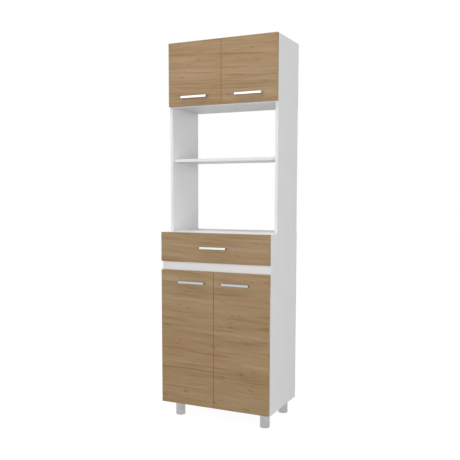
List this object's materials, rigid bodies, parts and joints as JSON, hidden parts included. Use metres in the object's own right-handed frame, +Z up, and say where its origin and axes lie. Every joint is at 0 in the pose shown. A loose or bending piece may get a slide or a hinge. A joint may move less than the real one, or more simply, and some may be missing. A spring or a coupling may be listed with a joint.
{
  "type": "microwave cabinet",
  "caption": "Tall freestanding kitchen cabinet: a drawer over hinged doors on legs, an open bay and shelf for a small oven, and a hinged-door cupboard on top.",
  "frame": {"origin": "centre of the object's bounding box, on the floor under the legs", "axes": "+Z up, -Y towards the front with the doors and the drawer, +X to the right seen from the front"},
  "size_m": [0.6, 0.4116, 1.95],
  "materials": {
    "white_board": "white satin laminate on chipboard",
    "oak_board": "light oak laminate with horizontal grain on chipboard",
    "back_board": "white lacquered hardboard",
    "handle_metal": "satin silver",
    "leg_plastic": "silver grey",
    "hinge_steel": "nickel plated",
    "slide_steel": "zinc plated",
    "pin_steel": "nickel plated"
  },
  "bodies": {
    "cabinet": {"base_side_left": "white_board", "base_side_right": "white_board", "base_bottom": "white_board", "worktop": "white_board", "front_rail": "white_board", "base_back": "back_board", "hutch_side_left": "white_board", "hutch_side_right": "white_board", "hutch_shelf": "white_board", "cupboard_bottom": "white_board", "cupboard_top": "white_board", "cupboard_back": "back_board", "base_shelf": "white_board", "shelf_pin_front_left": "pin_steel", "shelf_pin_back_left": "pin_steel", "shelf_pin_front_right": "pin_steel", "shelf_pin_back_right": "pin_steel", "leg_front_left": "leg_plastic", "leg_back_left": "leg_plastic", "leg_front_right": "leg_plastic", "leg_back_right": "leg_plastic", "base_left_hinge_bottom_arm": "hinge_steel", "base_left_hinge_top_arm": "hinge_steel", "base_right_hinge_bottom_arm": "hinge_steel", "base_right_hinge_top_arm": "hinge_steel", "cupboard_left_hinge_bottom_arm": "hinge_steel", "cupboard_left_hinge_top_arm": "hinge_steel", "cupboard_right_hinge_bottom_arm": "hinge_steel", "cupboard_right_hinge_top_arm": "hinge_steel", "slide_left_cabinet_rail": "slide_steel", "slide_right_cabinet_rail": "slide_steel"},
    "door_base_left": {"base_left_door": "oak_board", "base_left_handle": "handle_metal", "base_left_hinge_bottom_cup": "hinge_steel", "base_left_hinge_top_cup": "hinge_steel"},
    "door_base_right": {"base_right_door": "oak_board", "base_right_handle": "handle_metal", "base_right_hinge_bottom_cup": "hinge_steel", "base_right_hinge_top_cup": "hinge_steel"},
    "door_cupboard_left": {"cupboard_left_door": "oak_board", "cupboard_left_handle": "handle_metal", "cupboard_left_hinge_bottom_cup": "hinge_steel", "cupboard_left_hinge_top_cup": "hinge_steel"},
    "door_cupboard_right": {"cupboard_right_door": "oak_board", "cupboard_right_handle": "handle_metal", "cupboard_right_hinge_bottom_cup": "hinge_steel", "cupboard_right_hinge_top_cup": "hinge_steel"},
    "drawer": {"drawer_front": "oak_board", "drawer_inner_front": "white_board", "drawer_back": "white_board", "drawer_bottom": "back_board", "drawer_side_left": "white_board", "drawer_side_right": "white_board", "drawer_handle": "handle_metal", "slide_left_drawer_rail": "slide_steel", "slide_right_drawer_rail": "slide_steel"},
    "slide_middle": {"slide_left_middle_rail": "slide_steel", "slide_right_middle_rail": "slide_steel"}
  },
  "joints": [
    {"name": "base_left_door_hinge", "type": "hinge", "parent": "cabinet", "child": "door_base_left", "pos_m": [-0.3, -0.17375, 0.439], "axis": [0, 0, -1], "range_deg": [0, 105]},
    {"name": "base_right_door_hinge", "type": "hinge", "parent": "cabinet", "child": "door_base_right", "pos_m": [0.3, -0.17375, 0.439], "axis": [0, 0, 1], "range_deg": [0, 105]},
    {"name": "cupboard_left_door_hinge", "type": "hinge", "parent": "cabinet", "child": "door_cupboard_left", "pos_m": [-0.3, -0.08675, 1.789], "axis": [0, 0, -1], "range_deg": [0, 105]},
    {"name": "cupboard_right_door_hinge", "type": "hinge", "parent": "cabinet", "child": "door_cupboard_right", "pos_m": [0.3, -0.08675, 1.789], "axis": [0, 0, 1], "range_deg": [0, 105]},
    {"name": "drawer_slide", "type": "slide", "parent": "cabinet", "child": "drawer", "axis": [0, -1, 0], "range_m": [0, 0.3]},
    {"name": "middle_rail_slide", "type": "slide", "parent": "cabinet", "child": "slide_middle", "axis": [0, -1, 0], "range_m": [0, 0.15]}
  ],
  "couplings": [
    {"joint": "middle_rail_slide", "follows": "drawer_slide", "ratio": 0.5}
  ]
}
